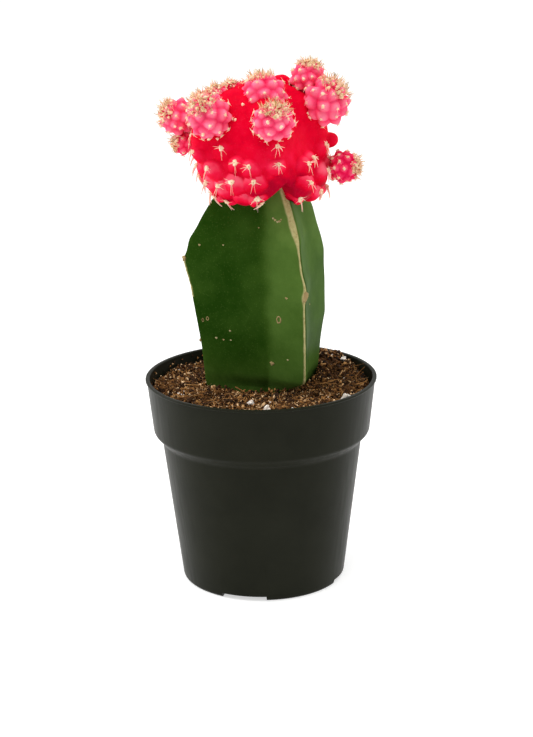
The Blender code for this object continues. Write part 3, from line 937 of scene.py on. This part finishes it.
for degrees, height, width in SCAR_RINGS:
    scale = Matrix.Diagonal((0.85 * width * MM, 1.15 * width * MM, 0.7 * width * MM, 1.0))
    scar_places.append((2, skin_frame(skin_surface, degrees, height) @ scale))
    scar_tones.append(rng.uniform(0.4, 0.6))
scar_cork = add_soil_material("scar_cork", [
    (0.15, (0.50, 0.46, 0.27)),
    (0.60, (0.36, 0.27, 0.12)),
    (1.00, (0.22, 0.12, 0.055)),
], 0.85, 0.15 * MM)
scars = copy_out("rootstock_scars", scar_models, scar_places, scar_tones, scar_cork)
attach(scars, "root")


# --- Scion: the red globe, a cactus with no green of its own, grafted on the stem's cut top ---
# Six broad ribs run down from the crown. Low down they break into chinned tubercles, each
# under a woolly areole, and the skirt hangs over the stem on both sides of its horn.

GLOBE_STATIONS = [
    # height, radius and middle's x in millimetres, from the hollow underside to the crown
    (111.6, 0.05, 1.0), (111.3, 4.0, 1.0), (110.8, 8.0, 1.1), (109.8, 10.4, 1.4),
    (109.0, 11.8, 1.7), (109.3, 13.0, 2.1), (110.8, 14.2, 2.4), (113.0, 15.0, 2.3),
    (116.0, 15.9, 1.3), (120.5, 16.9, 0.3), (125.0, 17.4, -0.2), (130.0, 16.6, 0.0),
    (134.5, 13.8, 0.2), (137.6, 9.4, 0.4), (139.4, 4.8, 0.7), (139.9, 0.05, 0.9),
]
# Angles of the ribs' crests in degrees, the first one again at the end
GLOBE_RIBS = (-150.0, -76.0, -6.0, 44.0, 94.0, 144.0, 210.0)
NOTCH_ANGLE = math.radians(-67.5)
NOTCH_TOP = 115.2
PROFILE_STEPS = 400
GLOBE_AREOLES = [
    # angle in degrees from +X and height in millimetres, the front ones each at its own place
    (-124.2, 124.2), (-111.3, 120.6), (-98.8, 120.0), (-74.6, 125.4), (-75.2, 120.6), (-42.5, 119.4),
    (-34.0, 120.6), (-16.0, 123.2), (-98.7, 115.7), (-47.5, 114.5), (-100.5, 110.9), (-95.5, 109.3),
    (-55.0, 110.0), (-137.0, 109.1), (-158.0, 109.6), (-159.0, 113.6), (-173.0, 117.5), (-5.0, 111.0),
    (-119.0, 115.4), (-139.0, 118.6), (-150.0, 122.6), (-17.0, 116.2), (-28.0, 111.0), (-2.0, 117.4),
    (-138.0, 113.6),
]
for turn in range(13):
    GLOBE_AREOLES.append((8 + 14.2 * turn, 109.6 + 1.2 * (turn % 2)))
    GLOBE_AREOLES.append((15 + 14.2 * turn, 114.6 + 0.9 * ((turn * 2) % 3)))
    if turn % 2 == 0:
        GLOBE_AREOLES.append((11 + 14.2 * turn, 120.0 + 0.7 * (turn % 3)))
        GLOBE_AREOLES.append((20 + 14.2 * turn, 125.6 + 0.5 * (turn % 3)))
GLOBE_KNOBS = [
    # bare knobs: angle, height, radius and how far they stand out
    (-2.0, 123.6, 2.1, 2.7), (20.0, 138.4, 2.8, 2.4), (-118.0, 110.6, 3.0, 1.4), (-42.0, 111.6, 3.2, 1.2),
]

station_array = np.array(GLOBE_STATIONS)
station_steps = np.hypot(np.diff(station_array[:, 0]), np.diff(station_array[:, 1]))
station_length = np.concatenate([[0.0], np.cumsum(station_steps)])


def globe_profile(share):
    """Height, radius and middle of the plain globe at a share of the way from underside to crown."""
    window = [share * station_length[-1] + step for step in (-0.9, -0.45, 0.0, 0.45, 0.9)]
    columns = station_array.T
    return [float(np.mean(np.interp(window, station_length, column))) for column in columns]


def turn_between(a, b):
    """The least angle between two directions round the axis."""
    return (a - b + math.pi) % math.tau - math.pi


def notch_edge(angle):
    """Height of the skirt's lower edge where it parts over the horn, steeper on the right."""
    aside = turn_between(angle, NOTCH_ANGLE)
    slope = math.radians(15.0) if aside > 0.0 else math.radians(28.0)
    return NOTCH_TOP - 6.0 * abs(aside) / slope


def globe_point(angle, share):
    """A point of the plain ribbed globe, and how much of a rib's crest it is."""
    height, radius, middle = globe_profile(share)
    upper = smooth_step((height - 113.0) / 12.0)
    crown = clamp((140.5 - height) / 6.0)
    sway = 4.0 * math.sin(height / 4.0 + 2.0 * angle)
    degrees = (math.degrees(angle) + sway + 150.0) % 360.0 - 150.0
    between = float(np.interp(degrees, GLOBE_RIBS, range(len(GLOBE_RIBS))))
    rib = (0.5 + 0.5 * math.cos(math.tau * between)) ** 1.2
    radius += (3.9 * rib - 2.1) * upper * crown * min(1.0, radius / 6.0)
    outside = smooth_step((radius - 6.0) / 3.0)
    low = smooth_step((notch_edge(angle) - height) / 1.2)
    radius *= 1.0 - 0.55 * low * outside
    return Vector((middle + radius * math.cos(angle), radius * math.sin(angle), height)), rib * upper


globe_height = [globe_profile(step / PROFILE_STEPS)[0] for step in range(PROFILE_STEPS + 1)]
lowest = globe_height.index(min(globe_height))


def globe_place(degrees, height):
    """The place on the plain globe's outside at an angle and a height."""
    step = lowest
    while globe_height[step] < height and step < PROFILE_STEPS:
        step += 1
    return np.array(globe_point(math.radians(degrees), step / PROFILE_STEPS)[0])


areole_points = [globe_place(*spot) for spot in GLOBE_AREOLES]
lobes = []
for point in areole_points:
    size = np.interp(point[2], (110.0, 113.0, 118.0, 121.0), (3.0, 3.7, 3.6, 2.8))
    lift = np.interp(point[2], (110.0, 113.0, 119.0, 124.0, 127.0), (1.6, 2.0, 1.7, 1.0, 0.4))
    lobes.append((point - np.array([0.0, 0.0, 1.3]), size, lift))
for degrees, height, size, lift in GLOBE_KNOBS:
    lobes.append((globe_place(degrees, height), size, lift))
lobe_middles, lobe_sizes, lobe_lifts = (np.array(column) for column in zip(*lobes))
areole_array = np.array(areole_points)

globe = start_piece("scion_globe", bpy.ops.mesh.primitive_uv_sphere_add, segments=250,
                    ring_count=170, radius=1.0)
base_points = []
crests = []
for vert in globe.data.vertices:
    share = 1.0 - math.acos(max(-1.0, min(1.0, vert.co.z))) / math.pi
    angle = math.atan2(vert.co.y, vert.co.x)
    point, crest = globe_point(angle, share)
    base_points.append(point)
    crests.append(crest)
    vert.co = point * MM
globe.data.update()
base_normals = [Vector(item.vector) for item in globe.data.vertex_normals]
tone_and_painted_light_values = []
for index, vert in enumerate(globe.data.vertices):
    place = base_points[index]
    point = np.array(place)
    ripple = noise.noise(place / 2.4)
    fine = noise.noise(place / 0.9)
    away = np.linalg.norm(lobe_middles - point, axis=1) * (1.0 + 0.16 * ripple) / lobe_sizes
    rises = lobe_lifts * np.clip(1.0 - away * away, 0.0, 1.0) ** 0.65
    chief = int(np.argmax(rises))
    rise = float(rises[chief])
    peak = float(np.exp(-((np.linalg.norm(areole_array - point, axis=1) / 1.1) ** 2)).max())
    lowness = smooth_step((127.0 - place.z) / 12.0)
    angle = math.atan2(place.y, place.x - 1.4)
    notch = smooth_step((place.z - notch_edge(angle)) / 1.6)
    inside = smooth_step((math.hypot(place.x - 1.4, place.y) - 10.5) / 2.0) if place.z < 110.0 else 1.0
    swell = (rise + 0.35 * peak + (0.30 * ripple + 0.07 * fine) * lowness) * notch * inside
    vert.co += base_normals[index] * swell * MM
    # Painted light and shade: the upper sides of the low lobes are painted paler and their undersides
    # deep red, as if lit from above. The skin beside the horn and on the underside is painted darker as
    # shade. The paler areole points, the rib crests and the ripple are the skin's own tone.
    upward = (place.z - lobe_middles[chief][2]) / lobe_sizes[chief]
    lobe_top_light = (0.14 + 0.52 * max(-1.0, min(1.0, upward))) * min(1.0, rise / 0.8) * lowness
    horn_shade = math.exp(-(turn_between(angle, NOTCH_ANGLE) / 0.42) ** 2)
    shade = 0.40 * horn_shade * smooth_step((119.0 - place.z) / 5.0)
    shade += 0.30 * smooth_step((112.0 - place.z) / 3.5)
    tone_and_painted_light = 0.20 + lobe_top_light + 0.25 * peak + 0.16 * crests[index] * lowness
    tone_and_painted_light_values.append(clamp(tone_and_painted_light + 0.22 * lowness * (0.30 + ripple) - shade))
paint(globe, "tone_and_painted_light", tone_and_painted_light_values)
bpy.ops.object.shade_smooth()


def add_flesh_material(name, stops, powder, mottling):
    """Skin of the red plant and its young: deep red in the folds, lighter and rougher on the points. The
    value it is coloured by holds the skin's own tone together with painted light and shade.
    """
    material, tree, shader = new_finish(name, {
        "IOR": 1.06, "Subsurface Weight": 0.06, "Subsurface Radius": (1.0, 0.10, 0.20),
        "Subsurface Scale": 1.2 * MM,
    })
    cells = add_node(tree, "Group", {
        "Tone": painted(tree, "tone_and_painted_light"), "Scale": 420.0, "Detail": 5.0, "Roughness": 0.62,
        "Spread": mottling, "Relief Strength": 0.30, "Relief Depth": 0.12 * MM,
    }, node_tree=grain_group)
    flecks = add_node(tree, "Group", {
        "Scale": 1700.0, "Outer": 0.26, "Strength": powder,
    }, node_tree=fleck_group)
    dusted = add_node(tree, "Mix", {
        "Factor": flecks.outputs["Mask"], "A": make_ramp(tree, cells.outputs["Value"], stops),
        "B": (0.95, 0.42, 0.48, 1.0),
    }, data_type="RGBA")
    gloss = add_node(tree, "MapRange", {
        "Value": cells.outputs["Value"], "To Min": 0.42, "To Max": 0.62,
    })
    set_inputs(tree, shader, {
        "Base Color": dusted.outputs["Result"],
        "Roughness": gloss.outputs["Result"],
        "Normal": cells.outputs["Normal"],
    })
    return material


scion_skin = add_flesh_material("scion_skin", [
    (0.00, (0.42, 0.0003, 0.019)),
    (0.20, (0.70, 0.0004, 0.021)),
    (0.46, (0.82, 0.0100, 0.055)),
    (0.88, (0.90, 0.1200, 0.195)),
], 0.04, 0.32)
globe.data.materials.append(scion_skin)
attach(globe, "root")
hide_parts("scion")


# --- Offsets: young pink globes that bud from the scion's areoles on short necks --------------
# Each has spiral rows of angular tubercles with a woolly areole on every point, and a crown
# packed with new spines.

GOLDEN_TURN = math.radians(137.5)
TUBERCLE_REACH = math.radians(155.0)
LARGE_BUD = 4.0 * MM
globe_middle = Vector((0.5, 0.0, 122.0)) * MM
offset_skin = add_flesh_material("offset_skin", [
    (0.00, (0.78, 0.008, 0.080)),
    (0.40, (0.90, 0.075, 0.180)),
    (0.85, (0.96, 0.240, 0.345)),
], 0.08, 0.55)
offset_areoles = []
offset_crowns = []


def polar_ray(down, around):
    """A direction at an angle down from +Z and an angle round it."""
    return Vector((math.sin(down) * math.cos(around), math.sin(down) * math.sin(around), math.cos(down)))


def tubercle_directions(count, reach, seed):
    """Directions of the tubercles of a small globe about its own crown, in a golden spiral."""
    found = []
    for number in range(count):
        down = math.acos(1.0 - (number + 0.6) / count * (1.0 - math.cos(reach)))
        down += 0.10 * math.sin(4.1 * number + seed)
        around = seed + number * GOLDEN_TURN + 0.12 * math.sin(2.7 * number)
        found.append(polar_ray(down, around))
    return found


offset_names = sorted(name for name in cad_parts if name.startswith("offset"))
CROWN_LEANS = {
    # where each one's crown points, for those at the front
    "offset_front": (0.10, -0.50, 0.86), "offset_left_front": (-0.42, -0.55, 0.72),
    "offset_left": (-0.68, -0.50, 0.52), "offset_left_low": (-0.70, -0.50, 0.10),
    "offset_left_top": (-0.25, -0.30, 0.92), "offset_crown": (-0.25, 0.12, 0.95),
    "offset_crown_left": (-0.30, -0.30, 0.90), "offset_crown_right": (0.18, -0.16, 0.97),
    "offset_right": (0.50, -0.38, 0.78), "offset_right_low": (0.88, -0.44, 0.14),
}
OFFSET_FORMS = {
    # how each grew out of round: moved right, back and up in millimetres, its girth and its height
    "offset_front": (-0.2, 0.0, -0.9, 0.92, 0.82), "offset_left_front": (0.6, 0.0, 1.0, 1.0, 1.0),
    "offset_left_top": (1.0, 0.0, -1.3, 1.0, 1.0), "offset_crown": (0.2, -0.6, -0.9, 1.10, 1.02),
    "offset_crown_left": (0.7, -2.6, -0.5, 1.15, 1.05), "offset_crown_right": (1.2, 0.0, 0.1, 0.95, 0.92),
    "offset_right": (0.6, 0.0, 0.8, 1.0, 1.0), "offset_right_low": (0.5, 0.0, 0.2, 1.0, 1.0),
}
# How much redder than the rest the young ones are
OFFSET_DEEPNESS = {"offset_right_low": 0.35, "offset_crown_left": 0.35, "offset_left_low": 0.15}
for order, name in enumerate(offset_names):
    low, high = (Vector(corner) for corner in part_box(name))
    size = high - low
    radius = 0.5 * max(size)
    center = (low + high) / 2.0
    outward = (center - globe_middle).normalized()
    for axis in range(3):
        if abs(outward[axis]) > 0.30 and size[axis] < 1.94 * radius:
            center[axis] = high[axis] - radius if outward[axis] > 0.0 else low[axis] + radius
    lean = CROWN_LEANS.get(name)
    crown = Vector(lean) if lean else outward + Vector((0.0, 0.0, 0.5))
    turn = Vector((0.0, 0.0, 1.0)).rotation_difference(crown.normalized())
    radius *= 1.02 if radius > LARGE_BUD else 1.08
    aside, back, lift, girth, tall = OFFSET_FORMS.get(name, (0.0, 0.0, 0.0, 1.0, 1.0))
    center += Vector((aside, back, lift)) * MM
    shape = Matrix.Diagonal((girth, girth, tall)) @ turn.to_matrix()
    count = 36 if radius > LARGE_BUD else 22
    spacing = math.sqrt(math.tau * (1.0 - math.cos(TUBERCLE_REACH)) / count * 1.155)
    tips = tubercle_directions(count, TUBERCLE_REACH, order * 1.7)
    tip_array = np.array(tips)
    deepness = OFFSET_DEEPNESS.get(name, 0.0)
    bud = start_piece(name + "_bud", bpy.ops.mesh.primitive_uv_sphere_add, segments=96,
                      ring_count=64, radius=1.0)
    tone_and_painted_light_values = []
    for vert in bud.data.vertices:
        ray = vert.co.normalized()
        away = np.sort(np.arccos(np.clip(tip_array @ np.array(ray), -1.0, 1.0)))[:2]
        round_top = max(0.0, 1.0 - (away[0] / (0.62 * spacing)) ** 1.7)
        faceted = min(1.0, float(away[1] - away[0]) / spacing)
        bump = 0.55 * round_top + 0.45 * faceted
        uneven = noise.noise(ray * 1.6 + Vector((order, 0.0, 0.0)))
        swell = 0.79 + 0.23 * bump + 0.08 * uneven
        vert.co = center + shape @ ray * radius * swell
        # Painted shade: the furrows between the tubercles are painted deeper than their points. The young
        # ones are redder all over.
        tone_and_painted_light_values.append(max(0.0, 0.12 + 0.80 * bump + 0.20 * uneven - deepness))
    paint(bud, "tone_and_painted_light", tone_and_painted_light_values)
    bpy.ops.object.shade_smooth()
    bud.data.materials.append(offset_skin)
    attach(bud, "root")
    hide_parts(name)
    for tip in tips:
        uneven = noise.noise(tip * 1.6 + Vector((order, 0.0, 0.0)))
        point = center + shape @ tip * radius * (1.00 + 0.08 * uneven)
        offset_areoles.append((point, turn @ tip, radius))
    offset_crowns.append((center, shape, radius))


# --- Areoles: cushions of cream wool, one on the point of every tubercle ----------------------
# Each is a lumpy tuft pressed on the skin. The old ones on the globe are larger and have a tan
# middle.

wool, tree, shader = new_finish("areole_wool", {"Roughness": 0.9, "Sheen Weight": 0.4})
felt = add_node(tree, "Group", {
    "Tone": painted(tree, "tone"), "Scale": 2600.0, "Roughness": 0.7, "Spread": 0.9,
    "Relief Strength": 0.9, "Relief Depth": 0.15 * MM,
}, node_tree=grain_group)
set_inputs(tree, shader, {
    "Base Color": make_ramp(tree, felt.outputs["Value"], [
        (0.0, (0.97, 0.74, 0.50)),
        (0.4, (0.88, 0.60, 0.34)),
        (1.0, (0.56, 0.38, 0.16)),
    ]),
    "Normal": felt.outputs["Normal"],
})


def tuft_matrix(point, outward, width, thickness):
    """Presses a tuft on the skin with its short side outward."""
    turn = Vector((0.0, 0.0, 1.0)).rotation_difference(outward).to_matrix().to_4x4()
    spin = Matrix.Rotation(rng.uniform(0.0, math.tau), 4, "Z")
    return Matrix.Translation(point) @ turn @ spin @ Matrix.Diagonal((width, width * 1.2, thickness, 1.0))


globe_surface = BVHTree.FromObject(globe, bpy.context.evaluated_depsgraph_get())
globe_areoles = []
for point in areole_points:
    middle = Vector((0.8 * MM, 0.0, point[2] * MM))
    outside = middle + (Vector(point) * MM - middle).normalized() * 40.0 * MM
    hit, normal = globe_surface.ray_cast(outside, (middle - outside).normalized())[:2]
    if hit:
        globe_areoles.append((hit, normal))
tuft_models = [shape_lump(f"tuft_model_{seed}", 2, 0.7, 60 + seed) for seed in range(3)]
tuft_places = []
tuft_tones = []
for point, normal in globe_areoles:
    width = rng.uniform(1.05, 1.4) * MM
    kind = rng.randrange(3)
    tuft_places.append((kind, tuft_matrix(point + normal * 0.15 * MM, normal, width, 1.0 * MM)))
    tuft_tones.append(rng.uniform(-0.15, 0.15))
    kind = rng.randrange(3)
    middle = point + normal * 0.52 * MM
    tuft_places.append((kind, tuft_matrix(middle, normal, 0.42 * MM, 0.5 * MM)))
    tuft_tones.append(rng.uniform(0.7, 1.0))
CROWN_TUFTS = 24
BUD_DOTS = [
    # angle and height of the small wool points that stand alone on the globe's upper ribs
    (-118.8, 131.4), (-133.4, 126.4), (-114.5, 135.0), (-28.3, 131.8), (-89.4, 127.5), (-65.1, 127.5),
    (-4.0, 119.0), (30.0, 128.0), (74.0, 126.5), (128.0, 129.0), (165.0, 127.0),
]
for degrees, height in BUD_DOTS:
    spot = skin_frame(globe_surface, degrees, height)
    width = rng.uniform(0.7, 0.95) * MM
    tuft_places.append((rng.randrange(3), spot @ Matrix.Diagonal((width, width, width, 1.0))))
    tuft_tones.append(-0.2)
for point, normal, radius in offset_areoles:
    width = rng.uniform(0.55, 0.9) * MM * (1.0 if radius > LARGE_BUD else 0.75)
    tuft_places.append((rng.randrange(3), tuft_matrix(point, normal, width, 0.75 * width)))
    tuft_tones.append(rng.uniform(-0.1, 0.3))
for center, shape, radius in offset_crowns:
    for number in range(CROWN_TUFTS):
        tilt_angle = math.radians(34.0) * math.sqrt((number + rng.random()) / CROWN_TUFTS)
        around = number * GOLDEN_TURN + rng.uniform(-0.4, 0.4)
        ray = shape @ polar_ray(tilt_angle, around)
        width = rng.uniform(0.5, 1.0) * MM * (radius / (5.5 * MM)) ** 0.5
        kind = rng.randrange(3)
        tuft_places.append((kind, tuft_matrix(center + ray * radius * 0.96, ray, width, width)))
        tuft_tones.append(rng.uniform(0.0, 0.7))
tufts = copy_out("areole_tufts", tuft_models, tuft_places, tuft_tones, wool)
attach(tufts, "root")


# --- Spines: weak curved bristles, cream to tan, three to six to an areole --------------------
# On the globe they spread and hang down over the skin. On the offsets' crowns they are new,
# upright and crowded, with brown tips.

horn, tree, shader = new_finish("spine_horn", {
    "Roughness": 0.5, "Subsurface Weight": 0.1, "Subsurface Scale": 0.3 * MM,
})
aged = add_node(tree, "Math", {0: painted(tree, "along"), 1: painted(tree, "tone")},
                operation="MULTIPLY")
streak = add_node(tree, "Group", {
    "Tone": aged.outputs["Value"], "Scale": 1500.0, "Detail": 3.0, "Spread": 0.4,
    "Relief Strength": 0.1, "Relief Depth": 0.02 * MM,
}, node_tree=grain_group)
set_inputs(tree, shader, {
    "Base Color": make_ramp(tree, streak.outputs["Value"], [
        (0.0, (0.95, 0.58, 0.46)),
        (0.22, (0.90, 0.66, 0.42)),
        (0.6, (0.52, 0.34, 0.10)),
        (1.0, (0.17, 0.11, 0.025)),
    ]),
    "Normal": streak.outputs["Normal"],
})

spine_models = [shape_strand("spine_model", 6, 1.0, 0.75, sides=5)]
spine_places = []
spine_tones = []
down = Vector((0.0, 0.0, -1.0))
for point, normal in globe_areoles:
    side = normal.cross(down).normalized()
    below = side.cross(normal).normalized()
    if below.z > 0.0:
        below = -below
    for number in range(rng.randint(5, 6)):
        hanging = number < 2
        around = rng.uniform(-0.35, 0.35) if hanging else rng.choice((-1.0, 1.0)) * rng.uniform(0.9, 2.3)
        spread = below * math.cos(around) + side * math.sin(around)
        toward = spread + normal * rng.uniform(0.10, 0.40)
        length = (rng.uniform(1.8, 3.2) if hanging else rng.uniform(0.9, 1.9)) * MM
        bend = down * 0.7 - normal * 0.8
        width = rng.uniform(0.11, 0.15) * MM
        root = point + normal * 0.25 * MM + spread * 0.45 * MM
        matrix = strand_matrix(root, toward, bend, length, width, rng.uniform(0.3, 0.9) * MM)
        spine_places.append((0, matrix))
        spine_tones.append(rng.uniform(-0.25, 0.15))
globe_spines = copy_out("globe_spines", spine_models, spine_places, spine_tones, horn)
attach(globe_spines, "root")

spine_models = [shape_strand("bristle_model", 3, 1.0, 0.8, sides=4)]
spine_places = []
spine_tones = []
for point, normal, radius in offset_areoles:
    side = normal.orthogonal().normalized()
    other = normal.cross(side)
    count = rng.randint(3, 5)
    for turn_number in range(count):
        around = math.tau * turn_number / count + rng.uniform(-0.4, 0.4)
        toward = side * math.cos(around) + other * math.sin(around) + normal * rng.uniform(0.3, 0.9)
        length = rng.uniform(0.6, 1.4) * MM * (1.0 if radius > LARGE_BUD else 0.75)
        bend = down * 0.3 - normal
        matrix = strand_matrix(point, toward, bend, length, 0.10 * MM, rng.uniform(0.15, 0.4) * MM)
        spine_places.append((0, matrix))
        spine_tones.append(rng.uniform(-0.2, 0.25))
for center, shape, radius in offset_crowns:
    for number in range(int(95 * (radius / (5.5 * MM)) ** 2) + 12):
        tilt_angle = math.radians(42.0) * math.sqrt(rng.random())
        around = rng.uniform(0.0, math.tau)
        local = polar_ray(tilt_angle, around)
        toward = shape @ (local + Vector((rng.uniform(-0.5, 0.5), rng.uniform(-0.5, 0.5), 0.0)))
        length = rng.uniform(0.8, 2.1) * MM * (radius / (5.0 * MM)) ** 0.5
        bend = shape @ Vector((rng.uniform(-1.0, 1.0), rng.uniform(-1.0, 1.0), 0.2))
        root = center + shape @ local * radius * 0.96
        matrix = strand_matrix(root, toward, bend, length, 0.11 * MM, rng.uniform(0.1, 0.5) * MM)
        spine_places.append((0, matrix))
        spine_tones.append(rng.uniform(0.6, 1.3) if rng.random() < 0.45 else rng.uniform(0.1, 0.5))
offset_spines = copy_out("offset_spines", spine_models, spine_places, spine_tones, horn)
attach(offset_spines, "root")
